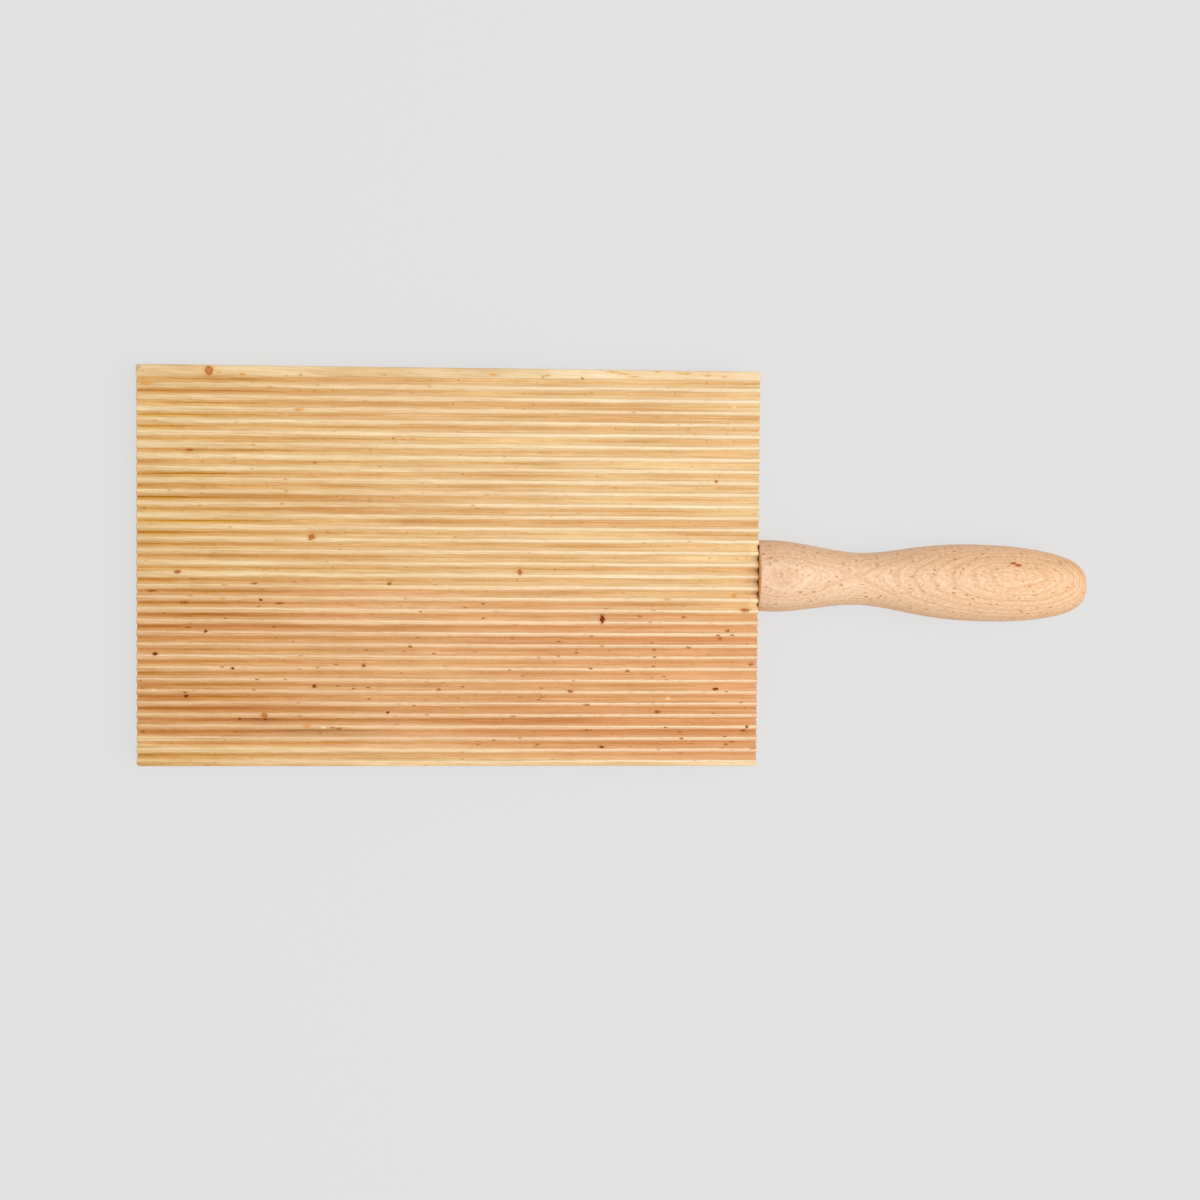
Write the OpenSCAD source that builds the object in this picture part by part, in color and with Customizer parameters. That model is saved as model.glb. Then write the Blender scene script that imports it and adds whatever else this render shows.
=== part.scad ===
// Gnocchi board: a small plank with lengthwise ribs and a turned handle glued into its end.
// Millimetres. The origin is the middle of the board's flat underside, with the ribs facing up (+Z).
// The handle points along +X, and the ribs run along X.

/* [Board] */
// Length of the board, along the ribs
board_length = 134; // [100:1:200]
// Width of the board, across the ribs
board_width = 86; // [60:1:120]
// Thickness of the board, measured to the tops of the ribs
board_thickness = 10; // [9:0.5:15]
// Radius of the board's four upright corners
corner_radius = 0.6; // [0.2:0.1:3]

/* [Ribs] */
// Distance from the middle of one groove to the next
rib_pitch = 2.52; // [2:0.01:4]
// From the board's +Y edge to the middle of the first groove
first_groove = 2.8; // [2:0.1:6]
// The least that stays between the last groove and the board's other long edge
last_groove_least = 2.2; // [2:0.1:6]
// Depth of a groove at the board's free end
groove_depth_free = 1.2; // [0.8:0.05:1.5]
// Depth of a groove at the end that holds the handle
groove_depth_handle = 1.7; // [0.8:0.05:1.8]
// Angle between the two flanks of a groove
groove_angle = 57; // [50:1:80]
// How far each groove leans towards -Y, in degrees, which makes that flank the flatter one
groove_lean = 9; // [0:0.5:12]
// Radius that rounds the bottom of a groove
groove_bottom_radius = 0.15; // [0.1:0.05:0.4]

/* [Handle] */
// Length of the whole handle, with the tenon that is hidden in the board
handle_length = 80; // [70:1:110]
// Diameter of the handle just outside the board, where it is a little swollen
shoulder_diameter = 15.7; // [13:0.1:20]
// From the board's end to the widest place of that swelling
shoulder_at = 3.5; // [2:0.5:8]
// How much narrower in radius the handle is right at the board's end
shoulder_drop = 0.1; // [0:0.05:0.5]
// Diameter of the handle's narrowest place
waist_diameter = 11.5; // [10:0.1:13]
// From the board's end to the narrowest place
waist_at = 23; // [18:0.5:28]
// Diameter of the grip's thickest place
grip_diameter = 17; // [15:0.1:24]
// From the board's end to the thickest place
grip_at = 50.5; // [40:0.5:55]
// How quickly the grip swells out of the waist; 3 is an even S curve
grip_fullness = 5.6; // [3:0.1:6]
// How blunt the tip is; 0.5 is an ellipse, and less is blunter
tip_bluntness = 0.3; // [0.25:0.01:0.5]
// How far the handle leans towards -Y in plan, in degrees
handle_lean = 1.6; // [0:0.1:3]
// How far the handle sits towards -Y from the middle of the board's end
handle_offset = 1.4; // [0:0.1:10]

/* [Joint] */
// Diameter of the handle's tenon
tenon_diameter = 5; // [4:0.25:5.5]
// Depth of the tenon's hole in the board's end
socket_depth = 6; // [5:0.5:20]
// Glue space round the tenon, on the radius
tenon_clearance = 0.1; // [0.05:0.01:0.15]
// Glue line that stays open between the handle's shoulder and the board's end
shoulder_gap = 0.2; // [0.05:0.05:0.5]
// Bevel on the tenon's leading edge
tenon_bevel = 0.5; // [0.2:0.1:1]

/* [Hidden] */
$fn = 96;

// Steps in a quarter turn of a corner, in a groove's round bottom and in each stretch of the handle
corner_steps = 4;
bottom_steps = 6;
profile_steps = 14;
// How far a cutting shape runs past the surface that it opens
overrun = 1;

board_end = board_length / 2;
handle_height = board_thickness / 2;
groove_count = floor((board_width - first_groove - last_groove_least) / rib_pitch) + 1;
groove_tilt = atan((groove_depth_handle - groove_depth_free) / board_length);
tenon_length = socket_depth + shoulder_gap;
shoulder_x = board_end + shoulder_gap;
handle_reach = handle_length - socket_depth;

// Points along an arc about a centre, from one angle to another
function arc(centre, radius, from, to, steps) =
    [for (i = [0 : steps])
        let (a = from + (to - from) * i / steps)
        centre + radius * [cos(a), sin(a)]];

// Corners of the board in plan, each rounded
function board_outline() =
    let (x = board_end - corner_radius, y = board_width / 2 - corner_radius)
    concat(
        arc([x, y], corner_radius, 0, 90, corner_steps),
        arc([-x, y], corner_radius, 90, 180, corner_steps),
        arc([-x, -y], corner_radius, 180, 270, corner_steps),
        arc([x, -y], corner_radius, 270, 360, corner_steps)
    );

// Cross-section of one groove, standing on its own bottom: a rounded V, open at the top
function groove_section(height) =
    let (half = groove_angle / 2, r = groove_bottom_radius)
    let (top = r * cos(half) + (height - r + r * sin(half)) * tan(half))
    concat(
        [[-top, height]],
        arc([0, r], r, -180 + half, -half, bottom_steps),
        [[top, height]]
    );

// A smooth rise from 0 to 1 that starts and ends level; a higher fullness rises sooner
function swell(t, fullness) =
    t * t * (fullness + (4 - 2 * fullness) * t + (fullness - 3) * t * t);

// Radius of the handle between two of its named places
function between(from_r, to_r, t, fullness) = from_r + (to_r - from_r) * swell(t, fullness);

// Outline of the handle from the board's end to the tip: [radius, distance from the board's end]
function handle_profile() =
    let (shoulder_r = shoulder_diameter / 2, waist_r = waist_diameter / 2, grip_r = grip_diameter / 2)
    concat(
        [[0, -overrun], [shoulder_r - shoulder_drop, -overrun]],
        [for (i = [0 : profile_steps / 2 - 1])
            let (t = 2 * i / profile_steps)
            [shoulder_r - shoulder_drop * pow(1 - t, 2), shoulder_at * t]],
        [for (i = [0 : profile_steps - 1])
            let (t = i / profile_steps)
            [between(waist_r, shoulder_r, 1 - t, 3), shoulder_at + (waist_at - shoulder_at) * t]],
        [for (i = [0 : profile_steps - 1])
            let (t = i / profile_steps)
            [between(waist_r, grip_r, t, grip_fullness), waist_at + (grip_at - waist_at) * t]],
        [for (i = [0 : profile_steps])
            let (a = 90 * i / profile_steps)
            [grip_r * pow(max(cos(a), 0), 2 * tip_bluntness), grip_at + (handle_reach - grip_at) * sin(a)]]
    );

// One groove as a solid to cut with, deeper at the handle end than at the free end, and leaning a little
module groove() {
    translate([-board_end, 0, board_thickness - groove_depth_free])
        rotate([0, groove_tilt, 0])
            translate([-overrun, 0, 0])
                rotate([90, 0, 90])
                    linear_extrude(board_length + 2 * overrun)
                        rotate(groove_lean)
                            polygon(groove_section(groove_depth_handle + overrun));
}

// A round bar along X, centred on the handle's place in the board's end
module bar_at_joint(from_x, to_x, diameter) {
    translate([from_x, -handle_offset, handle_height])
        rotate([0, 90, 0])
            cylinder(h = to_x - from_x, d = diameter);
}

// The plank: grooves over the whole of the upper face, and a blind hole in one end
module ribbed_board() {
    color("#e8c48e")
        difference() {
            linear_extrude(board_thickness)
                polygon(board_outline());
            for (k = [0 : groove_count - 1])
                translate([0, board_width / 2 - first_groove - k * rib_pitch, 0])
                    groove();
            bar_at_joint(board_end - socket_depth, board_end + overrun, tenon_diameter + 2 * tenon_clearance);
        }
}

// The grip, turned on its own leaning axis and faced off parallel to the board's end
module grip() {
    difference() {
        translate([board_end, -handle_offset, handle_height])
            rotate([0, 90, -handle_lean])
                rotate_extrude()
                    polygon(handle_profile());
        translate([shoulder_x - 2 * shoulder_diameter, -handle_offset - shoulder_diameter, 0])
            translate([0, 0, handle_height - shoulder_diameter])
                cube(2 * shoulder_diameter);
    }
}

// The tenon, square to the board's end, with a bevelled leading edge that meets the hole's bottom
module tenon() {
    bevel_end = board_end - socket_depth + tenon_bevel;
    bar_at_joint(bevel_end, shoulder_x + overrun, tenon_diameter);
    translate([board_end - socket_depth, -handle_offset, handle_height])
        rotate([0, 90, 0])
            cylinder(h = tenon_bevel, d1 = tenon_diameter - 2 * tenon_bevel, d2 = tenon_diameter);
}

// The handle: grip and tenon are one turned piece of wood
module turned_handle() {
    color("#e8be94")
        union() {
            grip();
            tenon();
        }
}

ribbed_board();
turned_handle();
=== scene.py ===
import math
import random

import bmesh
import bpy
import numpy as np
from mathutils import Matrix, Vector


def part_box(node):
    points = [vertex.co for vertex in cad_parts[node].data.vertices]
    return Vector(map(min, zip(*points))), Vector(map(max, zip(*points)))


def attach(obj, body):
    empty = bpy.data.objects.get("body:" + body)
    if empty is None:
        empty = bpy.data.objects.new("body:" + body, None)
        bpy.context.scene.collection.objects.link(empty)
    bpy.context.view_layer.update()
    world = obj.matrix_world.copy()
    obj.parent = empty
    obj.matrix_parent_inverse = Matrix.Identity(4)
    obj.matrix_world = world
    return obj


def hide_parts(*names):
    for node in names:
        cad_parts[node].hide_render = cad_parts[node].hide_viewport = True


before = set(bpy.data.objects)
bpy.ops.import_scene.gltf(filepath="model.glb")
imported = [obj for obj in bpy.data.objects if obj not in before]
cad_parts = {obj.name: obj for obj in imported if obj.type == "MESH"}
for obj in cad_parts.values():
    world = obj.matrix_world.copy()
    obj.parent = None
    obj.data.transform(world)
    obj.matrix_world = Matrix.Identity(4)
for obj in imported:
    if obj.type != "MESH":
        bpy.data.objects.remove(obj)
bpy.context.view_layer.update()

# Plank
# One piece of birch, planed to 134 by 86 by 10 mm. Its upper face is moulded into ribs by 33 V grooves that
# run along the grain, lean a little and get deeper towards the end with the blind hole for the handle.
MM = 0.001
plank_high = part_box("ribbed_board")[1]
half_length = plank_high.x / MM
half_width = plank_high.y / MM
thickness = plank_high.z / MM

groove_count = 33
rib_pitch = 2.52
first_groove = 2.8
depth_free = 1.2
depth_handle = 1.7
flat_flank = math.radians(37.5)
steep_flank = math.radians(19.5)
bottom_round = 0.16
crest_round_free = 0.34
crest_round_handle = 0.12
corner_round = 0.6
edge_round = 0.3
end_round = 0.14
column_step = 0.95
hole_radius = 2.6
hole_depth = 6.0
hole_y = -1.4
hole_z = thickness / 2
hole_sides = 48
plank_crease = math.radians(48)


def wander(seed, wavelengths, size):
    """A smooth random line along the grain: sines of these wavelengths in mm, each with its own phase."""
    draw = random.Random(seed)
    waves = [(2 * math.pi / w, draw.uniform(0, 2 * math.pi), draw.uniform(0.6, 1)) for w in wavelengths]

    def at(x):
        return size * sum(share * np.sin(rate * x + phase) for rate, phase, share in waves) / len(waves)

    return at


def rounding(inward, radius):
    """How far a rounded edge lies below the sharp one, at this distance in from it."""
    left = np.clip(radius - inward, 0, radius)
    return radius - np.sqrt(radius ** 2 - left ** 2)


# Places of the points along the plank, which lie close together at its two rounded ends
end_steps = [0, 0.015, 0.05, 0.1, 0.16, 0.3, 0.6]
end_zone = 1.2
middle_count = round((2 * half_length - 2 * end_zone) / column_step) + 1
middle_steps = np.linspace(end_zone, 2 * half_length - end_zone, middle_count)
columns = np.concatenate([end_steps, middle_steps, 2 * half_length - np.array(end_steps[::-1])]) - half_length
from_end = half_length - np.abs(columns)

# Each groove wanders a little, because the wood gave way to the cutter unevenly. All of them run slightly off
# the plank's edges, and from 60 mm before its middle on they fan out a trifle on both sides of one groove.
rib_skew = 0.0019
rib_fan = 0.0125
fan_start = -60
fan_run = 60
unfanned_groove = 11
fan_most = 13
centre_waves = (7, 19, 47)
depth_waves = (13, 34, 90)
wander_size = 0.07
depth_seed = 100
nearer_handle = (columns + half_length) / (2 * half_length)
crest_round = crest_round_free + (crest_round_handle - crest_round_free) * nearer_handle
fan = rib_fan * np.clip((columns - fan_start) / fan_run, 0, 1)
centres = []
depths = []
for k in range(groove_count):
    straight = half_width - first_groove - k * rib_pitch + rib_skew * columns
    fanned = fan * max(unfanned_groove - k, -fan_most)
    centres.append(straight + fanned + wander(k, centre_waves, wander_size)(columns))
    even_depth = depth_free + (depth_handle - depth_free) * nearer_handle
    depths.append(even_depth + wander(depth_seed + k, depth_waves, wander_size)(columns))
tan_flat = math.tan(flat_flank)
tan_steep = math.tan(steep_flank)


def cut(k, y):
    """How deep groove k goes at this place across the plank, with its bottom and its upper edges rounded."""
    aside = centres[k] - y
    run = np.where(aside > 0, tan_flat, tan_steep)
    rise = np.sqrt((aside / run) ** 2 + bottom_round ** 2)
    left = depths[k] + bottom_round - rise
    return 0.5 * (left + np.sqrt(left ** 2 + crest_round ** 2))


def worn_top(y, near):
    """Height of the ribbed face, where near lists the grooves that reach this place."""
    return thickness - sum(cut(k, y) for k in near)


# Rows of points across the plank, which follow the flanks and crests as these shift along it
flank_shares = (0, 0.1, 0.28, 0.55, 0.8, 0.94)
crest_shares = (0.05, 0.28, 0.5, 0.72, 0.95)
border_shares = (0.4, 0.6, 0.8, 0.95)
edge_insets = (0, 0.05, 0.13, 0.3, 0.7)
last = groove_count - 1
rows = []
first_edge = half_width - (centres[0] + tan_steep * (depths[0] + bottom_round))
last_edge = centres[-1] - tan_flat * (depths[-1] + bottom_round) + half_width
for inset in edge_insets:
    rows.append((half_width - inset, 0, [0], inset))
for share in border_shares:
    rows.append((half_width - first_edge * share, 0, [0], None))
for share in reversed(flank_shares[1:]):
    rows.append((centres[0] + share * tan_steep * (depths[0] + bottom_round), 0, [0], None))
for k in range(groove_count):
    flat_reach = tan_flat * (depths[k] + bottom_round)
    near = [k, k + 1] if k < last else [k]
    for share in flank_shares:
        rows.append((centres[k] - share * flat_reach, k, near, None))
    if k == last:
        break
    steep_reach = tan_steep * (depths[k + 1] + bottom_round)
    upper = centres[k] - flat_reach
    lower = centres[k + 1] + steep_reach
    for share in crest_shares:
        rows.append((upper + share * (lower - upper), k, near, None))
    for share in reversed(flank_shares[1:]):
        rows.append((centres[k + 1] + share * steep_reach, k + 1, near, None))
for share in reversed(border_shares):
    rows.append((-half_width + last_edge * share, last, [last], None))
for inset in reversed(edge_insets):
    rows.append((-half_width + inset, last, [last], inset))

# The ribbed face is worn down by 0.03 mm on average. Each corner also keeps how many grooves lie before it,
# with a part for the way to the next, and the places off the ribs keep one number below zero.
wear = 0.03
wear_waves = (7, 16, 41)
wear_seed = 300
row_shift = 0.37
off_ribs = -0.3
past_last = last + 0.62
crest_wear = wander(wear_seed, wear_waves, wear)
ring_y = []
ring_z = []
counts = []
for number, (y, k, near, inset) in enumerate(rows):
    y = y + 0 * columns
    z = worn_top(y, near) - wear - crest_wear(columns + row_shift * number)
    if inset is not None:
        z = z - rounding(inset, edge_round)
    ring_y.append(y)
    ring_z.append(z - rounding(from_end, end_round))
    counts.append(np.clip(k + (centres[k] - y) / rib_pitch, off_ribs, past_last))
top_rows = len(rows)

# The -Y side, the underside and the +Y side close each ring of points
side_heights = (9.4, 8, 5, 2, 0.6)
foot_heights = (0.3, 0.15, 0.05)
foot_insets = (0.2, 0.7)
foot_top = 0.5
underside_margin = 2
underside_points = 9
foot = rounding(from_end, end_round)
for side in (-1, 1):
    walls = [(half_width, z) for z in side_heights]
    walls += [(half_width - rounding(z, edge_round), z) for z in foot_heights]
    under = [(half_width - edge_round - inset, 0) for inset in foot_insets]
    under += [(y, 0) for y in np.linspace(half_width - underside_margin, underside_margin, underside_points)]
    strip = walls + under + ([(0, 0)] if side < 0 else [])
    if side > 0:
        strip = strip[::-1]
    for y, z in strip:
        ring_y.append(side * y + 0 * columns)
        ring_z.append(z + foot * (z < foot_top))
ring_y = np.array(ring_y)
ring_z = np.array(ring_z)

# The upright corners are rounded in plan, by shifting the points of the outermost millimetre
corner_blend = 1
corner = rounding(from_end, corner_round)
beyond = np.clip((np.abs(ring_y) - (half_width - corner_blend)) / corner_blend, 0, 1)
ring_y = ring_y - np.sign(ring_y) * beyond * corner

# Each face's place on the map that the finished colours are drawn on: its scale as a share of the ribbed
# face's, which has the most room, and the place of its corner
per_mm = 0.99 / (2 * half_length)
map_places = {"top": (1, 0.005, 0.36), "underside": (0.5, 0.005, 0.02), "low side": (0.48, 0.51, 0.3),
              "high side": (0.48, 0.51, 0.24), "free end": (0.5, 0.51, 0.18), "handle end": (0.5, 0.51, 0.12)}


def place_on_map(part, point):
    """Where a corner at this point in mm lies on the map."""
    share, u, v = map_places[part]
    x, y, z = point
    right = y + half_width if part.endswith("end") else x + half_length
    up = y + half_width if part in ("top", "underside") else z
    return u + share * per_mm * right, v + share * per_mm * up


hole_map = (0.86, 0.12)
hole_map_step = (0.0012, 0.03)
hole_bottom_map = (0.95, 0.135)
hole_bottom_share = 0.012
mesh = bpy.data.meshes.new("ribbed_plank")
shell = bmesh.new()
count_layer = shell.loops.layers.float.new("groove_count")
map_layer = shell.loops.layers.uv.new("OFBake")
grid = []
for ys, zs in zip(ring_y, ring_z):
    grid.append([shell.verts.new((x * MM, y * MM, z * MM)) for x, y, z in zip(columns, ys, zs)])
side_strips = len(side_heights) + len(foot_heights)
for number, (here, after) in enumerate(zip(grid, grid[1:] + grid[:1])):
    if number < top_rows - 1:
        part = "top"
    elif number < top_rows - 1 + side_strips:
        part = "low side"
    elif number < len(grid) - side_strips:
        part = "underside"
    else:
        part = "high side"
    for i in range(len(columns) - 1):
        face = shell.faces.new((here[i], after[i], after[i + 1], here[i + 1]))
        for loop in face.loops:
            loop[map_layer].uv = place_on_map(part, loop.vert.co / MM)
            loop[count_layer] = off_ribs
        if part == "top":
            face.loops[0][count_layer] = counts[number][i]
            face.loops[1][count_layer] = counts[number + 1][i]
            face.loops[2][count_layer] = counts[number + 1][i + 1]
            face.loops[3][count_layer] = counts[number][i + 1]

# The handle's end has a blind hole, drilled square to it
circle = [2 * math.pi * i / hole_sides for i in range(hole_sides)]
mouth = []
floor_ring = []
for angle in circle:
    y = (hole_y + hole_radius * math.cos(angle)) * MM
    z = (hole_z + hole_radius * math.sin(angle)) * MM
    mouth.append(shell.verts.new((half_length * MM, y, z)))
    floor_ring.append(shell.verts.new(((half_length - hole_depth) * MM, y, z)))
for i in range(hole_sides):
    j = (i + 1) % hole_sides
    wall = shell.faces.new((mouth[i], mouth[j], floor_ring[j], floor_ring[i]))
    for loop, (u, v) in zip(wall.loops, ((i, 0), (i + 1, 0), (i + 1, 1), (i, 1))):
        loop[map_layer].uv = (hole_map[0] + hole_map_step[0] * u, hole_map[1] + hole_map_step[1] * v)
bottom = shell.faces.new(floor_ring)
for loop, angle in zip(bottom.loops, circle):
    loop[map_layer].uv = (hole_bottom_map[0] + hole_bottom_share * math.cos(angle),
                          hole_bottom_map[1] + hole_bottom_share * math.sin(angle))
shell.verts.ensure_lookup_table()
for column, hole, part in ((0, [], "free end"), (-1, mouth, "handle end")):
    outline = [row[column] for row in grid]
    border = [shell.edges.get((a, b)) for a, b in zip(outline, outline[1:] + outline[:1])]
    border += [shell.edges.get((a, b)) for a, b in zip(hole, hole[1:] + hole[:1])]
    filled = bmesh.ops.triangle_fill(shell, use_beauty=True, edges=border)
    for face in filled["geom"]:
        if isinstance(face, bmesh.types.BMFace):
            for loop in face.loops:
                loop[map_layer].uv = place_on_map(part, loop.vert.co / MM)
                loop[count_layer] = off_ribs
bmesh.ops.recalc_face_normals(shell, faces=shell.faces)
shell.to_mesh(mesh)
shell.free()
mesh.shade_smooth()
mesh.set_sharp_from_angle(angle=plank_crease)
plank = bpy.data.objects.new("ribbed_plank", mesh)
bpy.context.scene.collection.objects.link(plank)
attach(plank, "root")
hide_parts("ribbed_board")


def linear(colour):
    """An sRGB hex colour, such as #f2d4a6, as the linear values that shaders take."""
    parts = [int(colour[i:i + 2], 16) / 255 for i in (1, 3, 5)]
    return tuple(p / 12.92 if p <= 0.04045 else ((p + 0.055) / 1.055) ** 2.4 for p in parts) + (1,)


def add(tree, kind, out, inputs, stops=(), **settings):
    """Adds one shader node with its settings, links and ramp, and gives back one of its outputs."""
    made = tree.nodes.new("ShaderNode" + kind)
    for name, value in settings.items():
        setattr(made, name, value)
    for name, value in inputs.items():
        if isinstance(value, bpy.types.NodeSocket):
            tree.links.new(value, made.inputs[name])
        else:
            made.inputs[name].default_value = value
    for number, (position, shade) in enumerate(stops):
        if number > 1:
            made.color_ramp.elements.new(1)
        made.color_ramp.elements[number].position = position
        made.color_ramp.elements[number].color = shade
    return made.outputs[out]


def grey(levels):
    """Stops of a ramp in plain greys, from pairs of a position and a level."""
    return [(position, (level, level, level, 1)) for position, level in levels]


def nearest(tree, place, marks, depth):
    """How near the closest mark is, as a share of its size. Each mark is its x, y, length and width in mm."""
    near = None
    for x, y, length, width in marks:
        scale = (2 / length, 2 / width, 1 / depth)
        shift = (-2 * x / length, -2 * y / width, -thickness / depth)
        apart = add(tree, "VectorMath", "Vector", {0: place, 1: scale, 2: shift}, operation="MULTIPLY_ADD")
        apart = add(tree, "VectorMath", "Value", {0: apart}, operation="LENGTH")
        near = apart if near is None else add(tree, "Math", 0, {0: near, 1: apart}, operation="MINIMUM")
    return near


# Planed birch: pale yellow sapwood round a reddish heart, with short brown pith flecks along the grain. A Mix
# node takes its share as input 0 and its two colours as 6 and 7, and its output 2 is the mixed colour.
birch = bpy.data.materials.new("planed_birch")
birch.use_nodes = True
tree = birch.node_tree
wood = tree.nodes["Principled BSDF"]
place = add(tree, "TexCoord", "Object", {})
place = add(tree, "VectorMath", "Vector", {0: place, 1: (1 / MM, 1 / MM, 1 / MM)}, operation="MULTIPLY")
axes = add(tree, "SeparateXYZ", "X", {0: place}).node.outputs

# The pith ran under the plank, at a slight angle to its edges, and the grain waves about it
pith = (0, -23, -20)
heart_radius = 33.8
grain_turn = math.radians(2.4)
grain_sway = 1.4
slow = add(tree, "VectorMath", "Vector", {0: place, 1: (1 / 45, 1 / 16, 1 / 16)}, operation="MULTIPLY")
bend = add(tree, "TexNoise", "Color", {"Vector": slow, "Scale": 1, "Detail": 2})
bend = add(tree, "VectorMath", "Vector", {0: bend, 1: (0, 2 * grain_sway, 2 * grain_sway),
                                          2: (0, -grain_sway, -grain_sway)}, operation="MULTIPLY_ADD")
grain = add(tree, "VectorMath", "Vector", {0: place, 1: pith}, operation="SUBTRACT")
grain = add(tree, "Mapping", "Vector", {"Vector": grain, "Rotation": (0, 0, grain_turn)})
grain = add(tree, "VectorMath", "Vector", {0: grain, 1: bend}, operation="ADD")
across = add(tree, "VectorMath", "Vector", {0: grain, 1: (0, 1, 1)}, operation="MULTIPLY")
radius = add(tree, "VectorMath", "Value", {0: across}, operation="LENGTH")
aside = add(tree, "SeparateXYZ", "Y", {0: grain})

# The heart's border is soft on the +Y side and crisp on the other
past = add(tree, "Math", 0, {0: radius, 1: heart_radius}, operation="SUBTRACT")
crisp = add(tree, "MapRange", "Result", {"Value": aside, "From Min": -6, "From Max": 6, "To Min": 3.5,
                                         "To Max": 0.75})
past = add(tree, "Math", 0, {0: past, 1: crisp}, operation="MULTIPLY")
heart = add(tree, "MapRange", "Result", {"Value": past, "From Min": 1, "From Max": -1},
            interpolation_type="SMOOTHSTEP")

# Years of darker wood, by their distance in mm from the pith's line: 1 is the darkest
dark_years = (
    (-22, 0.9), (-20, 0.1), (-16.6, 0.05), (-14.7, 0.8), (-11, 0.8), (-7, 0.4), (-1, 0.25), (4, 0.15),
    (8, 0.3), (14, 0.45), (18, 0.25), (20, 0.1), (22.6, 0.05), (23.4, 0.35), (25.6, 0.35), (26.8, 0.1),
    (31.8, 0.05), (33, 0.42), (36.6, 0.45), (38.2, 0.05), (55.3, 0.05), (56.3, 0.35), (59, 0.42),
    (60.4, 0.05), (75, 0))
years_from = -25
years_to = 75
band_place = add(tree, "MapRange", "Result", {"Value": aside, "From Min": years_from, "From Max": years_to})
bands = add(tree, "ValToRGB", "Color", {"Fac": band_place},
            stops=grey(((mm - years_from) / (years_to - years_from), share) for mm, share in dark_years))
bands = add(tree, "SeparateColor", "Red", {"Color": bands})

# Growth rings 2 to 3 mm apart, and fibres, which are drawn 0.2 to 0.4 mm wide so that they show
ring_place = add(tree, "Math", 0, {0: radius, 1: 0.45}, operation="MULTIPLY")
rings = add(tree, "TexNoise", "Fac", {"W": ring_place, "Scale": 1, "Detail": 4, "Roughness": 0.65},
            noise_dimensions="1D")
fibre_place = add(tree, "VectorMath", "Vector", {0: grain, 1: (1 / 7, 1 / 0.35, 1 / 0.35)},
                  operation="MULTIPLY")
fibres = add(tree, "TexNoise", "Fac", {"Vector": fibre_place, "Scale": 1, "Detail": 2, "Roughness": 0.75})
broad_place = add(tree, "VectorMath", "Vector", {0: grain, 1: (1 / 40, 1 / 2.2, 1 / 2.2)},
                  operation="MULTIPLY")
broad = add(tree, "TexNoise", "Fac", {"Vector": broad_place, "Scale": 1, "Detail": 2, "Roughness": 0.5})

# The wood is browner towards the free end, and there towards the -Y edge. The heart is palest 12 mm before
# mid length.
band_strength = 0.75
heart_palest = -12
along = add(tree, "MapRange", "Result", {"Value": axes["X"], "From Min": -half_length,
                                         "From Max": half_length})
sap_pale = add(tree, "Mix", 2, {0: along, 6: linear("#f2d3a2"), 7: linear("#f6dfb6")}, data_type="RGBA")
sap_tan = add(tree, "Mix", 2, {0: along, 6: linear("#dca866"), 7: linear("#e9bc82")}, data_type="RGBA")
lower = add(tree, "MapRange", "Result", {"Value": axes["Y"], "From Min": half_width,
                                         "From Max": -half_width, "To Min": -0.15, "To Max": 0.25})
free_share = add(tree, "MapRange", "Result", {"Value": along, "From Max": 0.5, "To Min": 1, "To Max": 0})
sap_mix = add(tree, "MapRange", "Result", {"Value": broad, "From Min": 0.3, "From Max": 0.7, "To Min": -0.15,
                                           "To Max": 0.5})
sap_mix = add(tree, "Math", 0, {0: bands, 1: band_strength, 2: sap_mix}, operation="MULTIPLY_ADD")
sap_mix = add(tree, "Math", 0, {0: lower, 1: free_share, 2: sap_mix}, operation="MULTIPLY_ADD",
              use_clamp=True)
sap = add(tree, "Mix", 2, {0: sap_mix, 6: sap_pale, 7: sap_tan}, data_type="RGBA")
core_pale = add(tree, "Mix", 2, {0: along, 6: linear("#eec797"), 7: linear("#f3cda0")}, data_type="RGBA")
core_deep = add(tree, "Mix", 2, {0: along, 6: linear("#d79d63"), 7: linear("#e4ab76")}, data_type="RGBA")
core_mix = add(tree, "MapRange", "Result", {"Value": rings, "From Min": 0.3, "From Max": 0.7, "To Min": -0.15,
                                            "To Max": 0.4})
core_mix = add(tree, "Math", 0, {0: bands, 1: band_strength, 2: core_mix}, operation="MULTIPLY_ADD")
off_palest = add(tree, "Math", 0, {0: axes["X"], 1: -heart_palest}, operation="ADD")
off_palest = add(tree, "Math", 0, {0: off_palest}, operation="ABSOLUTE")
off_palest = add(tree, "MapRange", "Result", {"Value": off_palest, "From Min": 5, "From Max": 32,
                                              "To Min": -0.15, "To Max": 0.08})
core_mix = add(tree, "Math", 0, {0: core_mix, 1: off_palest}, operation="ADD", use_clamp=True)
core = add(tree, "Mix", 2, {0: core_mix, 6: core_pale, 7: core_deep}, data_type="RGBA")
colour = add(tree, "Mix", 2, {0: heart, 6: sap, 7: core}, data_type="RGBA")

# The fibres make pale and dark streaks, which are fainter towards the handle
streak = add(tree, "MapRange", "Result", {"Value": fibres, "From Min": 0.38, "From Max": 0.62})
streak = add(tree, "Mix", 2, {0: streak, 6: (0.92, 0.87, 0.77, 1), 7: (1.06, 1.1, 1.17, 1)}, data_type="RGBA")
streak_share = add(tree, "MapRange", "Result", {"Value": along, "To Min": 1, "To Max": 0.6})
colour = add(tree, "Mix", 2, {0: streak_share, 6: colour, 7: streak}, data_type="RGBA", blend_type="MULTIPLY")

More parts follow.
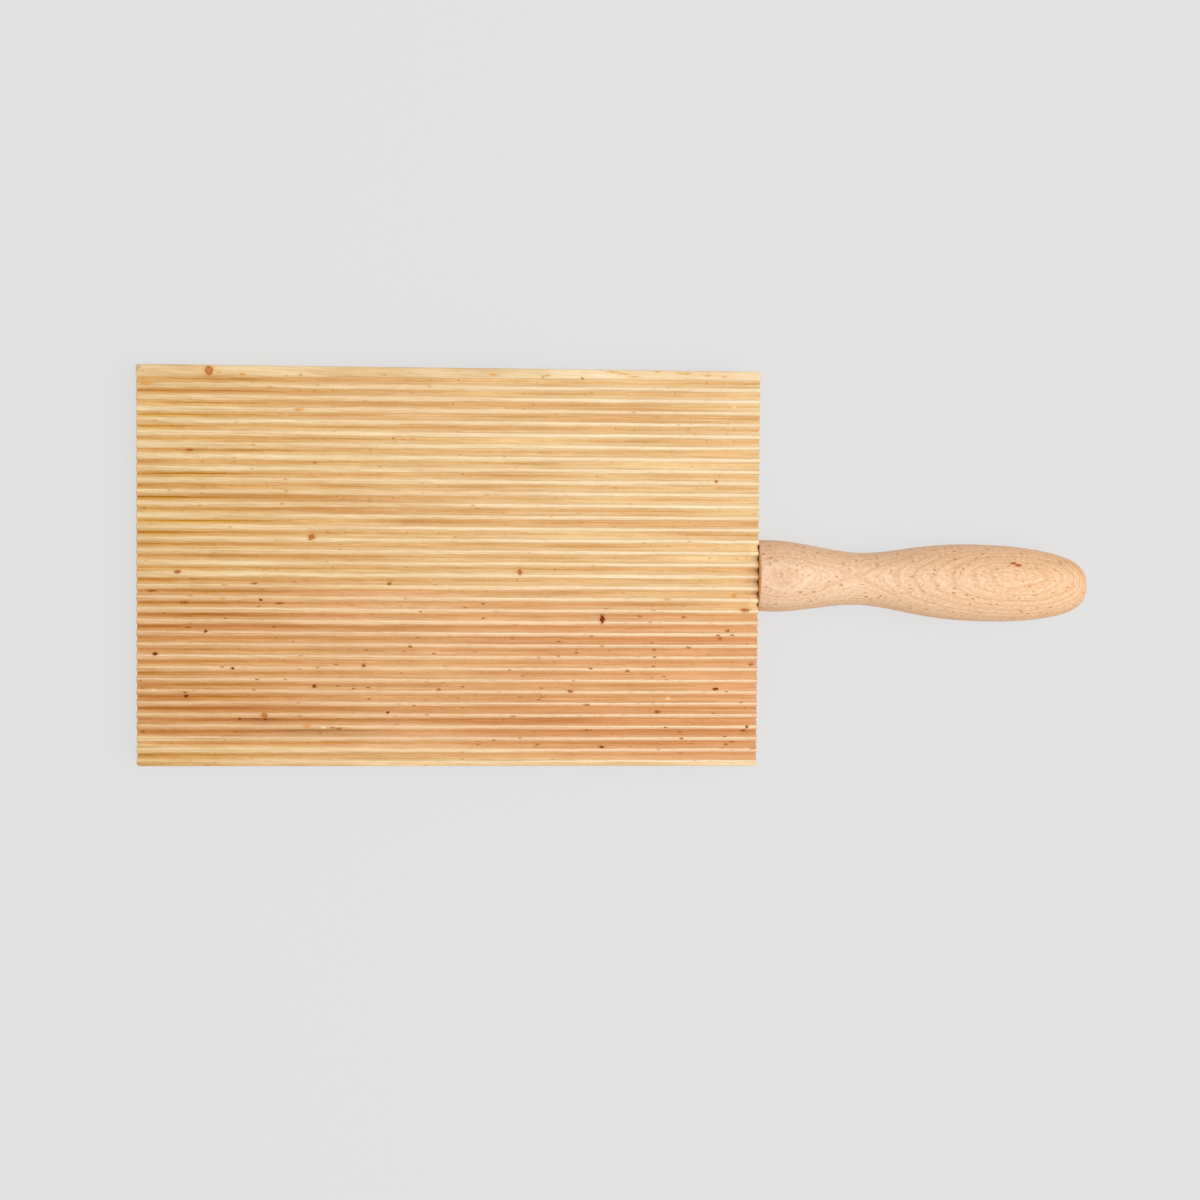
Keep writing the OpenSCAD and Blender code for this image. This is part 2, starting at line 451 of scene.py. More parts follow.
# Place across one rib: 0 is a groove's bottom, then come the +Y flank, the crest and the -Y flank
count = add(tree, "Attribute", "Fac", {}, attribute_name="groove_count")
phase = add(tree, "Math", 0, {0: count}, operation="FRACT")
stretch = add(tree, "Math", 0, {0: axes["X"], 1: 1 / 38}, operation="MULTIPLY")
per_rib = add(tree, "CombineXYZ", "Vector", {"X": stretch, "Y": count})
mood = add(tree, "TexNoise", "Fac", {"Vector": per_rib, "Scale": 1, "Detail": 2, "Roughness": 0.6})

# Painted shade and highlight across each rib: the groove bottoms are darker, partly as painted shade of the
# deep grooves and partly as the cutter's darkening, and the flanks and crests are painted lighter or darker
# by how they face the lamp. The bottoms are darker at the free end, and vary by stretches of about 38 mm.
free_shade_and_burn = add(tree, "ValToRGB", "Color", {"Fac": phase}, stops=(
    (0, (0.7, 0.54, 0.21, 1)), (0.05, (0.68, 0.51, 0.19, 1)), (0.12, (0.95, 0.86, 0.57, 1)),
    (0.25, (1.02, 1, 0.85, 1)), (0.45, (1.03, 1.03, 0.98, 1)), (0.62, (0.92, 0.93, 0.92, 1)),
    (0.75, (0.92, 0.91, 0.89, 1)), (0.87, (1, 1, 0.92, 1)), (0.94, (0.98, 0.95, 0.8, 1)),
    (1, (0.7, 0.54, 0.21, 1))))
end_shade_and_burn = add(tree, "ValToRGB", "Color", {"Fac": phase}, stops=(
    (0, (0.83, 0.79, 0.66, 1)), (0.05, (0.79, 0.73, 0.59, 1)), (0.12, (0.93, 0.94, 0.93, 1)),
    (0.22, (0.98, 1.01, 1.03, 1)), (0.42, (1.03, 0.98, 0.91, 1)), (0.55, (1.03, 1, 0.96, 1)),
    (0.72, (0.94, 0.92, 0.91, 1)), (0.84, (1.01, 0.99, 0.97, 1)), (0.93, (1.03, 1.04, 1, 1)),
    (1, (0.83, 0.79, 0.66, 1))))
shade_and_burn_mix = add(tree, "MapRange", "Result", {"Value": axes["X"], "From Min": -62, "From Max": -12})
rib_shade_and_burn = add(tree, "Mix", 2, {0: shade_and_burn_mix, 6: free_shade_and_burn, 7: end_shade_and_burn}, data_type="RGBA")
shade_and_burn_share = add(tree, "MapRange", "Result", {"Value": mood, "From Min": 0.3, "From Max": 0.65, "To Min": 0.4,
                                              "To Max": 1.35}, clamp=False)
rib_shade_and_burn = add(tree, "Mix", 2, {0: shade_and_burn_share, 6: (1, 1, 1, 1), 7: rib_shade_and_burn}, data_type="RGBA", clamp_factor=False)
colour = add(tree, "Mix", 2, {0: 1.0, 6: colour, 7: rib_shade_and_burn}, data_type="RGBA", blend_type="MULTIPLY")

# Its teeth drew fine lines along the flanks, about nine to a rib and 30 mm long
tooth_x = add(tree, "Math", 0, {0: axes["X"], 1: 1 / 30}, operation="MULTIPLY")
tooth_y = add(tree, "Math", 0, {0: count, 1: 9}, operation="MULTIPLY")
tooth_place = add(tree, "CombineXYZ", "Vector", {"X": tooth_x, "Y": tooth_y})
teeth = add(tree, "TexNoise", "Fac", {"Vector": tooth_place, "Scale": 1, "Detail": 1, "Roughness": 0.5})
teeth = add(tree, "MapRange", "Result", {"Value": teeth, "From Min": 0.36, "From Max": 0.56})
teeth = add(tree, "Mix", 2, {0: teeth, 6: (0.9, 0.84, 0.73, 1), 7: (1.05, 1.07, 1.1, 1)}, data_type="RGBA")
colour = add(tree, "Mix", 2, {0: 1.0, 6: colour, 7: teeth}, data_type="RGBA", blend_type="MULTIPLY")

# Burnt specks sit in the bottoms here and there
speck_y = add(tree, "Math", 0, {0: count, 1: 4}, operation="MULTIPLY")
speck_place = add(tree, "CombineXYZ", "Vector", {"X": axes["X"], "Y": speck_y})
specks = add(tree, "TexNoise", "Fac", {"Vector": speck_place, "Scale": 1, "Detail": 1})
specks = add(tree, "MapRange", "Result", {"Value": specks, "From Min": 0.66, "From Max": 0.74})
in_bottom = add(tree, "ValToRGB", "Color", {"Fac": phase},
                stops=grey(((0, 1), (0.1, 0), (0.88, 0), (0.95, 1))))
specks = add(tree, "Math", 0, {0: specks, 1: in_bottom}, operation="MULTIPLY")
colour = add(tree, "Mix", 2, {0: specks, 6: colour, 7: linear("#a4651f")}, data_type="RGBA")

# A painted highlight makes the crests paler where they catch the light, together with their torn fibres, most
# of all in the half with the handle. In the other half it shows more in the red heart than in the sapwood.
# The plain borders beside the first and last groove have none.
crest_sap = add(tree, "ValToRGB", "Color", {"Fac": phase},
                stops=grey(((0.34, 0), (0.44, 0.2), (0.55, 0.12), (0.7, 0))))
crest_heart = add(tree, "ValToRGB", "Color", {"Fac": phase},
                  stops=grey(((0.37, 0), (0.46, 0.34), (0.52, 0.34), (0.58, 0.03), (0.75, 0))))
crest_free = add(tree, "Mix", 2, {0: heart, 6: crest_sap, 7: crest_heart}, data_type="RGBA")
crest_end = add(tree, "ValToRGB", "Color", {"Fac": phase},
                stops=grey(((0.48, 0), (0.52, 0.95), (0.56, 0.95), (0.6, 0.2), (0.8, 0.15), (0.92, 0))))
crest_share = add(tree, "MapRange", "Result", {"Value": axes["X"], "From Min": -35, "From Max": 50},
                  interpolation_type="SMOOTHSTEP")
crest_highlight_and_tears = add(tree, "Mix", 2, {0: crest_share, 6: crest_free, 7: crest_end}, data_type="RGBA")
tear_x = add(tree, "Math", 0, {0: axes["X"], 1: 1 / 1.6}, operation="MULTIPLY")
tear_y = add(tree, "Math", 0, {0: count, 1: 2}, operation="MULTIPLY")
tear_place = add(tree, "CombineXYZ", "Vector", {"X": tear_x, "Y": tear_y})
tears = add(tree, "TexNoise", "Fac", {"Vector": tear_place, "Scale": 1, "Detail": 2, "Roughness": 0.6})
tears = add(tree, "MapRange", "Result", {"Value": tears, "From Min": 0.3, "From Max": 0.5, "To Min": 0.35})
crest_highlight_and_tears = add(tree, "Mix", 2, {0: 1.0, 6: crest_highlight_and_tears, 7: tears}, data_type="RGBA", blend_type="MULTIPLY")
crest_highlight_and_tears = add(tree, "SeparateColor", "Red", {"Color": crest_highlight_and_tears})
past_first = add(tree, "Math", 0, {0: count, 1: off_ribs + 0.01}, operation="GREATER_THAN")
before_last = add(tree, "Math", 0, {0: count, 1: past_last - 0.01}, operation="LESS_THAN")
crest_highlight_and_tears = add(tree, "Math", 0, {0: crest_highlight_and_tears, 1: past_first}, operation="MULTIPLY")
crest_highlight_and_tears = add(tree, "Math", 0, {0: crest_highlight_and_tears, 1: before_last}, operation="MULTIPLY")
colour = add(tree, "Mix", 2, {0: crest_highlight_and_tears, 6: colour, 7: linear("#ffefd2")}, data_type="RGBA")

# Short pith flecks lie along the grain, most of them in the heart: one may lie in each 3.4 by 1.5 mm
fleck_place = add(tree, "VectorMath", "Vector", {0: grain, 1: (1 / 3.4, 1 / 1.5, 1 / 1.5)},
                  operation="MULTIPLY")
fleck = add(tree, "TexVoronoi", "Distance", {"Vector": fleck_place, "Scale": 1}).node
chosen = add(tree, "SeparateColor", "Red", {"Color": fleck.outputs["Color"]})
chosen = add(tree, "MapRange", "Result", {"Value": chosen, "From Min": 0.3, "From Max": 0.85})
heart_share = add(tree, "MapRange", "Result", {"Value": heart, "To Min": 0.5})
chosen = add(tree, "Math", 0, {0: chosen, 1: heart_share}, operation="MULTIPLY")
fleck_mask = add(tree, "MapRange", "Result", {"Value": fleck.outputs["Distance"], "From Min": 0.19,
                                              "From Max": 0.09})
fleck_mask = add(tree, "Math", 0, {0: fleck_mask, 1: chosen}, operation="MULTIPLY")
fleck_colour = add(tree, "Mix", 2, {0: heart, 6: linear("#cb7d1c"), 7: linear("#b05c00")}, data_type="RGBA")
colour = add(tree, "Mix", 2, {0: fleck_mask, 6: colour, 7: fleck_colour}, data_type="RGBA")

# The larger knots and flecks, each at its own place: x, y, length and width in mm. Their edges are ragged.
mark_depth = 3
rough_noise = add(tree, "TexNoise", "Color", {"Vector": place, "Scale": 2.2, "Detail": 3})
ragged = add(tree, "VectorMath", "Vector", {0: rough_noise, 1: (1.3, 0.9, 0), 2: (-0.65, -0.45, 0)},
             operation="MULTIPLY_ADD")
ragged = add(tree, "VectorMath", "Vector", {0: place, 1: ragged}, operation="ADD")
brown_flecks = (
    (-57.1, -7.8, 2.2, 0.4), (-63.8, -5.3, 2.3, 0.4), (-58.3, -1.2, 1.4, 0.7), (-42.1, -3.6, 1.3, 0.4),
    (-36.7, -7.9, 1.8, 0.4), (-56.2, -13.1, 1.3, 0.4), (-37.9, -13, 0.8, 0.4), (-56.8, -27.1, 1, 0.4),
    (45.1, -31.2, 1.1, 0.7), (41.2, -10.4, 0.8, 0.4), (50.9, -10.5, 1, 0.4), (60.4, -13.5, 1, 0.5),
    (58.8, -15.2, 0.9, 0.5), (51.8, -17.1, 0.9, 0.5), (44.3, -17.7, 0.8, 0.4), (38.4, -22.2, 1, 0.5),
    (26, -26.7, 1.2, 0.5), (61.6, -37.8, 1.1, 0.4), (29.7, -35.2, 2.2, 0.4), (65.7, -20.8, 1.2, 0.6),
    (-29.3, 22.4, 0.8, 0.4), (-55.8, 24.9, 1.5, 0.4), (13.6, -32.2, 1, 0.4), (-2.4, -26.4, 0.9, 0.5),
    (-8.7, -17.1, 1, 0.4), (-18.6, -21.2, 1, 0.6), (-24.1, -34.8, 1.3, 0.4), (-13.2, -3.5, 1, 0.6),
    (57.5, 19.1, 0.8, 0.6), (28.2, 41.1, 0.6, 0.4))
dark_flecks = (
    (-40.7, -7.1, 0.8, 0.5), (-52.4, -13.9, 0.8, 0.6), (-63.1, -18.8, 1, 0.7), (-46.6, -21.9, 0.8, 0.5),
    (-56.5, -27.9, 0.9, 0.7), (-45.2, -32.8, 0.6, 0.5), (-39.7, -33.1, 0.6, 0.5), (-29.2, -25.8, 1, 0.6),
    (32.9, -11, 1, 1.9), (64.1, -35.3, 1, 0.5), (64.8, -34.4, 0.7, 0.6), (32.9, -38.9, 1.1, 0.5),
    (57.8, -26.2, 1.1, 0.6), (-13.4, -31.4, 0.7, 0.5))
orange_flecks = (
    (-32.4, 33.7, 1.9, 0.5), (-48.3, -4, 1, 0.4), (-48.7, -6.9, 1, 0.4), (-65.1, 38.8, 2.6, 0.6),
    (41.8, 27.5, 0.7, 0.4), (-30.8, -34.3, 1.5, 0.6), (-35.3, 18.7, 0.8, 0.4), (-55.6, -6.3, 1, 0.4),
    (-35.3, 16.2, 0.8, 0.5), (-36.2, 13.5, 0.8, 0.4), (47, -6.6, 1.2, 0.4), (61.7, -5.9, 1, 0.4),
    (-49.4, 41.4, 1.1, 0.4), (-44.6, 41.1, 1, 0.4), (-32.2, 41.1, 0.9, 0.4), (-14.5, 41.3, 0.9, 0.4),
    (9, 41.6, 1.6, 0.35), (19.6, 41.3, 0.7, 0.5), (20.6, 41.6, 1.1, 0.3), (34.5, 42.6, 2.4, 0.3),
    (37, 42.1, 2.4, 0.3), (39.4, 41.6, 2.2, 0.3), (44.5, 42.6, 1.2, 0.3), (50.2, 42.4, 3, 0.3),
    (55.3, 42, 1.8, 0.3), (59, 41.7, 1, 0.35), (-25, -37.9, 9, 0.35))
knots = (
    (-51.6, 41.8, 1.8, 1.9), (-29.8, 6.4, 1.3, 1.3), (64, -8.9, 2, 0.7), (15, -0.9, 0.9, 1.2),
    (-39.8, -32, 1.2, 1))
for marks, shade, most in ((orange_flecks, "#de9410", 0.65), (knots, "#b86000", 0.88),
                           (brown_flecks, "#ae5800", 0.85), (dark_flecks, "#802a00", 0.97)):
    near = nearest(tree, ragged, marks, mark_depth)
    halo = add(tree, "MapRange", "Result", {"Value": near, "From Min": 2.2, "From Max": 1.1,
                                            "To Max": most * 0.25})
    colour = add(tree, "Mix", 2, {0: halo, 6: colour, 7: linear("#d08a28")}, data_type="RGBA")
    mask = add(tree, "MapRange", "Result", {"Value": near, "From Min": 1.25, "From Max": 0.85,
                                            "To Max": most})
    if marks == knots:
        centre = add(tree, "MapRange", "Result", {"Value": near, "From Min": 0.7, "From Max": 0.2,
                                                  "To Max": 0.35})
        shade = add(tree, "Mix", 2, {0: centre, 6: linear(shade), 7: linear("#d8963c")}, data_type="RGBA")
    else:
        shade = linear(shade)
    colour = add(tree, "Mix", 2, {0: mask, 6: colour, 7: shade}, data_type="RGBA")

# Two groove bottoms that a stain runs along
stains = ((-41, -32.85, 12, 0.7), (-28, -35.3, 36, 0.6))
near = nearest(tree, place, stains, mark_depth)
stain = add(tree, "MapRange", "Result", {"Value": near, "From Min": 1.2, "From Max": 0.4, "To Max": 0.6})
colour = add(tree, "Mix", 2, {0: stain, 6: colour, 7: linear("#8a4a14")}, data_type="RGBA")

# A few places where a chip of a crest broke away and left it pale, and three dull smudges
chips = (
    (47.5, -28.3, 1.1, 0.5), (61.5, 35.3, 0.9, 0.5), (32.6, 28.6, 0.8, 0.5), (-63.3, -26.6, 1.1, 0.3),
    (-27.3, -34.6, 1.1, 0.3))
smudges = ((-17.6, 14.4, 0.9, 0.7), (5.6, 12.8, 0.8, 0.6), (-66.6, 42.3, 0.8, 2))
for marks, shade, most in ((chips, "#fff2da", 0.65), (smudges, "#b79a80", 0.6)):
    near = nearest(tree, ragged, marks, mark_depth)
    mask = add(tree, "MapRange", "Result", {"Value": near, "From Min": 1.3, "From Max": 0.7, "To Max": most})
    colour = add(tree, "Mix", 2, {0: mask, 6: colour, 7: linear(shade)}, data_type="RGBA")

# Painted light: the ribs' ends in front of the handle are made paler, to cancel the shade that the handle's
# shoulder casts on them
shadow_lift_width = (8, 6)
shadow_lift_reach = (2.2, 0.4)
off_handle = add(tree, "Math", 0, {0: axes["Y"], 1: hole_y}, operation="SUBTRACT")
off_handle = add(tree, "Math", 0, {0: off_handle}, operation="ABSOLUTE")
shadow_lift = add(tree, "MapRange", "Result", {"Value": off_handle, "From Min": shadow_lift_width[0],
                                         "From Max": shadow_lift_width[1]})
near_end = add(tree, "MapRange", "Result", {"Value": axes["X"], "From Min": half_length - shadow_lift_reach[0],
                                            "From Max": half_length - shadow_lift_reach[1]})
shadow_lift = add(tree, "Math", 0, {0: shadow_lift, 1: near_end}, operation="MULTIPLY")
colour = add(tree, "Mix", 2, {0: shadow_lift, 6: colour, 7: (1.2, 1.22, 1.25, 1)}, data_type="RGBA",
             blend_type="MULTIPLY")

# The sawn ends show end grain, which is browner. Its colour starts 0.1 mm before them.
out = add(tree, "Math", 0, {0: axes["X"]}, operation="ABSOLUTE")
end_grain = add(tree, "MapRange", "Result", {"Value": out, "From Min": half_length - 0.1,
                                             "From Max": half_length - 0.02, "To Max": 0.55})
colour = add(tree, "Mix", 2, {0: end_grain, 6: colour, 7: linear("#cf9a5c")}, data_type="RGBA")

tree.links.new(colour, wood.inputs["Base Color"])
sheen = add(tree, "MapRange", "Result", {"Value": fibres, "From Min": 0.3, "From Max": 0.7, "To Min": 0.62,
                                         "To Max": 0.5})
tree.links.new(sheen, wood.inputs["Roughness"])
wood.inputs["Specular IOR Level"].default_value = 0.3
relief = add(tree, "Bump", "Normal", {"Height": fibres, "Strength": 0.5, "Distance": 0.06 * MM})
tree.links.new(relief, wood.inputs["Normal"])
mesh.materials.append(birch)

# Handle
# One piece of beech, turned on a lathe with its tenon: a swollen shoulder, a waist and a long grip. The
# tenon is glued into the plank's blind hole, and a thin open line is left under the shoulder.
shoulder_gap = 0.07
shoulder_radius = 7.85
shoulder_at = 3.5
shoulder_drop = 0.1
waist_radius = 5.75
waist_at = 23.0
grip_radius = 8.49
grip_at = 50.5
waist_fullness = 3
grip_fullness = 5.6
reach = 73.85
tip_bluntness = 0.3
handle_lean = math.radians(1.6)
tenon_radius = 2.5
tenon_bevel = 0.5
face_radii = (4.5, 6.5)
rim_round = 0.3
turns = 144
handle_crease = math.radians(40)


def swell(t, fullness):
    """A smooth rise from 0 to 1 that starts and ends level; a higher fullness rises sooner."""
    return t * t * (fullness + (4 - 2 * fullness) * t + (fullness - 3) * t * t)


def turned_radius(s):
    """Radius of the handle at this distance from the plank's end."""
    if s <= shoulder_at:
        return shoulder_radius - shoulder_drop * (1 - s / shoulder_at) ** 2
    if s <= waist_at:
        rise = swell((waist_at - s) / (waist_at - shoulder_at), waist_fullness)
        return waist_radius + (shoulder_radius - waist_radius) * rise
    if s <= grip_at:
        rise = swell((s - waist_at) / (grip_at - waist_at), grip_fullness)
        return waist_radius + (grip_radius - waist_radius) * rise
    angle = math.asin(min(1, (s - grip_at) / (reach - grip_at)))
    return grip_radius * max(0, math.cos(angle)) ** (2 * tip_bluntness)


handle_mesh = bpy.data.meshes.new("turned_handle_beech")
shell = bmesh.new()
map_layer = shell.loops.layers.uv.new("OFBake")
# Places of the rings of points, as distances from the plank's end: close together at the rim and at the tip
body_rings = 90
tip_rings = 46
tip_angles = [math.radians(a) for a in np.linspace(2, 89.2, tip_rings)]
stations = [0, 0.02, 0.08, 0.18, 0.3, 0.6]
stations += list(np.linspace(1, grip_at, body_rings))
stations += [grip_at + (reach - grip_at) * math.sin(angle) for angle in tip_angles]
handle_map_margin = 0.02
handle_map_size = (0.6, 0.96)
rings_made = []


def ring_of(points):
    """Joins a closed ring of points to the ring made before it."""
    made = [shell.verts.new([c * MM for c in p]) for p in points]
    if rings_made:
        before = rings_made[-1]
        number = len(rings_made)
        for i in range(len(made)):
            j = (i + 1) % len(made)
            face = shell.faces.new((before[i], before[j], made[j], made[i]))
            for loop, u, v in zip(face.loops, (i, i + 1, i + 1, i), (number - 1, number - 1, number, number)):
                loop[map_layer].uv = (handle_map_margin + handle_map_size[0] * u / turns,
                                      handle_map_margin + handle_map_size[1] * v / ring_total)
    rings_made.append(made)


# The seam of the bake's map runs along the underside
angles = [2 * math.pi * i / turns - math.pi / 2 for i in range(turns)]
tenon_end = half_length - hole_depth
shoulder_x = half_length + shoulder_gap
tenon_middle = tenon_end + 3
tenon_rings = [(tenon_end, tenon_radius - tenon_bevel), (tenon_end + tenon_bevel, tenon_radius),
               (tenon_middle, tenon_radius), (shoulder_x, tenon_radius)]
tenon_rings += [(shoulder_x, r) for r in face_radii]
ring_total = len(tenon_rings) + len(stations)
for x, r in tenon_rings:
    ring_of([(x, hole_y + r * math.cos(a), hole_z + r * math.sin(a)) for a in angles])

# The shoulder is faced parallel to the plank's end, and the tip has a small slanted facet that was sanded on
facet_aim = (0.763, 0.647)
facet_reach = 106.9
facet_share = 0.85
for s in stations:
    ring = []
    for a in angles:
        leaning = turned_radius(0) * math.cos(a) * math.sin(handle_lean)
        face_s = (shoulder_gap - leaning) / math.cos(handle_lean)
        here = s + face_s * max(0, 1 - s / shoulder_at)
        r = turned_radius(s) - float(rounding(np.array(s), rim_round))
        x = half_length + here * math.cos(handle_lean) + r * math.cos(a) * math.sin(handle_lean)
        y = hole_y - here * math.sin(handle_lean) + r * math.cos(a) * math.cos(handle_lean)
        if s == 0:
            x = shoulder_x
        past = max(0, facet_aim[0] * x + facet_aim[1] * y - facet_reach)
        sanded = facet_share * past
        ring.append((x - sanded * facet_aim[0], y - sanded * facet_aim[1], hole_z + r * math.sin(a)))
    ring_of(ring)
cap_u = 0.8
cap_share = 0.1
for ring, v in ((rings_made[0], 0.2), (rings_made[-1], 0.6)):
    cap = shell.faces.new(ring)
    for loop, angle in zip(cap.loops, angles):
        loop[map_layer].uv = (cap_u + cap_share * math.cos(angle), v + cap_share * math.sin(angle))
bmesh.ops.recalc_face_normals(shell, faces=shell.faces)
shell.to_mesh(handle_mesh)
shell.free()
handle_mesh.shade_smooth()
handle_mesh.set_sharp_from_angle(angle=handle_crease)
handle = bpy.data.objects.new("turned_handle_beech", handle_mesh)
bpy.context.scene.collection.objects.link(handle)
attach(handle, "root")
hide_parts("turned_handle")

# Turned beech: pinkish tan, with thin brown growth rings, which the turned form cuts to nested ovals, and
# short dark rays. Its pores are drawn 0.2 mm wide so that they show.
beech = bpy.data.materials.new("turned_beech")
beech.use_nodes = True
tree = beech.node_tree
wood = tree.nodes["Principled BSDF"]
place = add(tree, "TexCoord", "Object", {})
place = add(tree, "VectorMath", "Vector", {0: place, 1: (1 / MM, 1 / MM, 1 / MM)}, operation="MULTIPLY")
axes = add(tree, "SeparateXYZ", "X", {0: place}).node.outputs

# The pith ran under the handle, at a slight angle to it
handle_pith = (97, -4.9, -22)
handle_turn = (0, math.radians(-2.9), math.radians(7.2))
handle_sway = 0.8
year_width = 1.15
slow = add(tree, "VectorMath", "Vector", {0: place, 1: (1 / 22, 1 / 9, 1 / 9)}, operation="MULTIPLY")
bend = add(tree, "TexNoise", "Color", {"Vector": slow, "Scale": 1, "Detail": 2})
bend = add(tree, "VectorMath", "Vector", {0: bend, 1: (0, 2 * handle_sway, 2 * handle_sway),
                                          2: (0, -handle_sway, -handle_sway)}, operation="MULTIPLY_ADD")
grain = add(tree, "VectorMath", "Vector", {0: place, 1: handle_pith}, operation="SUBTRACT")
grain = add(tree, "Mapping", "Vector", {"Vector": grain, "Rotation": handle_turn})
grain = add(tree, "VectorMath", "Vector", {0: grain, 1: bend}, operation="ADD")
across = add(tree, "VectorMath", "Vector", {0: grain, 1: (0, 1, 1)}, operation="MULTIPLY")
radius = add(tree, "VectorMath", "Value", {0: across}, operation="LENGTH")
year = add(tree, "Math", 0, {0: radius, 1: 1 / year_width}, operation="MULTIPLY")
uneven = add(tree, "TexNoise", "Fac", {"W": radius, "Scale": 0.5, "Detail": 1}, noise_dimensions="1D")
year = add(tree, "Math", 0, {0: uneven, 1: 1.6, 2: year}, operation="MULTIPLY_ADD")
year = add(tree, "Math", 0, {0: year}, operation="FRACT")
late = add(tree, "ValToRGB", "Color", {"Fac": year},
           stops=grey(((0, 0), (0.6, 0.05), (0.8, 0.25), (0.93, 1), (1, 0))))
fine_place = add(tree, "Math", 0, {0: radius, 1: 3.2}, operation="MULTIPLY")
fine = add(tree, "TexNoise", "Fac", {"W": fine_place, "Scale": 1, "Detail": 1}, noise_dimensions="1D")

# Pores and rays are placed by their distance from the pith, so that they follow the ovals of the rings
grain_x = add(tree, "SeparateXYZ", "X", {0: grain})
grain_y = add(tree, "SeparateXYZ", "Y", {0: grain})
round_place = add(tree, "CombineXYZ", "Vector", {"X": grain_x, "Y": radius, "Z": grain_y})
pore_place = add(tree, "VectorMath", "Vector", {0: round_place, 1: (1 / 0.8, 1 / 0.22, 1 / 0.4)},
                 operation="MULTIPLY")
pores = add(tree, "TexNoise", "Fac", {"Vector": pore_place, "Scale": 1, "Detail": 2, "Roughness": 0.6})
ray_place = add(tree, "VectorMath", "Vector", {0: round_place, 1: (1 / 1.5, 1 / 0.9, 1 / 0.75)},
                operation="MULTIPLY")
rays = add(tree, "TexVoronoi", "Distance", {"Vector": ray_place, "Scale": 1}).node
chosen = add(tree, "SeparateColor", "Red", {"Color": rays.outputs["Color"]})
chosen = add(tree, "MapRange", "Result", {"Value": chosen, "From Min": 0.35, "From Max": 1, "To Min": 0,
                                          "To Max": 0.7})
ray_mask = add(tree, "MapRange", "Result", {"Value": rays.outputs["Distance"], "From Min": 0.34,
                                            "From Max": 0.25})
ray_mask = add(tree, "Math", 0, {0: ray_mask, 1: chosen}, operation="MULTIPLY")

# The wood is a little darker towards the shoulder and has fine lines. Its lower sides are painted darker, as
# painted shade.
length_share = add(tree, "MapRange", "Result", {"Value": axes["X"], "From Min": 67, "From Max": 141})
base = add(tree, "ValToRGB", "Color", {"Fac": length_share}, stops=(
    (0, linear("#edcaab")), (0.3, linear("#f3d1b2")), (0.6, linear("#f0c9a6")), (1, linear("#f4caa3"))))
fine = add(tree, "MapRange", "Result", {"Value": fine, "From Min": 0.38, "From Max": 0.6})
fine = add(tree, "Mix", 2, {0: fine, 6: (0.93, 0.88, 0.81, 1), 7: (1.03, 1.03, 1.03, 1)}, data_type="RGBA")
base = add(tree, "Mix", 2, {0: 1.0, 6: base, 7: fine}, data_type="RGBA", blend_type="MULTIPLY")
side = add(tree, "MapRange", "Result", {"Value": axes["Z"], "From Min": 10.6, "From Max": 6})
shade = add(tree, "Mix", 2, {0: side, 6: (1, 1, 1, 1), 7: linear("#f5eedd")}, data_type="RGBA")
base = add(tree, "Mix", 2, {0: 1.0, 6: base, 7: shade}, data_type="RGBA", blend_type="MULTIPLY")

# Its +Y side is painted a little browner, as painted shade where it turns from the lamp, and paler right at
# the edge, as a painted sheen
facing = add(tree, "TexCoord", "Normal", {})
facing = add(tree, "SeparateXYZ", "Y", {0: facing})
shade = add(tree, "ValToRGB", "Color", {"Fac": facing}, stops=(
    (0.3, (1, 1, 1, 1)), (0.65, (0.94, 0.9, 0.84, 1)), (0.8, (0.97, 0.94, 0.9, 1)),
    (0.94, (1.05, 1.06, 1.11, 1))))
base = add(tree, "Mix", 2, {0: 1.0, 6: base, 7: shade}, data_type="RGBA", blend_type="MULTIPLY")

# The rings show more on the lower sides, and the pores and rays lie over them
ring_share = add(tree, "MapRange", "Result", {"Value": side, "To Min": 0.28, "To Max": 0.75})
late = add(tree, "Math", 0, {0: late, 1: ring_share}, operation="MULTIPLY")
colour = add(tree, "Mix", 2, {0: late, 6: base, 7: linear("#d59a5e")}, data_type="RGBA")
speckle = add(tree, "MapRange", "Result", {"Value": pores, "From Min": 0.38, "From Max": 0.62})
speckle = add(tree, "Mix", 2, {0: speckle, 6: (0.9, 0.84, 0.76, 1), 7: (1.05, 1.06, 1.07, 1)},
              data_type="RGBA")
colour = add(tree, "Mix", 2, {0: 1.0, 6: colour, 7: speckle}, data_type="RGBA", blend_type="MULTIPLY")
colour = add(tree, "Mix", 2, {0: ray_mask, 6: colour, 7: linear("#bf6c14")}, data_type="RGBA")

# One brown fleck lies on the grip, and is drawn as two that overlap
grip_fleck = ((122.8, 1.75, 1.5, 0.6), (123.9, 1.35, 1.6, 0.7))
grip_fleck_depth = 9
near = nearest(tree, place, grip_fleck, grip_fleck_depth)
mask = add(tree, "MapRange", "Result", {"Value": near, "From Min": 1.3, "From Max": 0.6, "To Max": 0.95})
colour = add(tree, "Mix", 2, {0: mask, 6: colour, 7: linear("#a85208")}, data_type="RGBA")

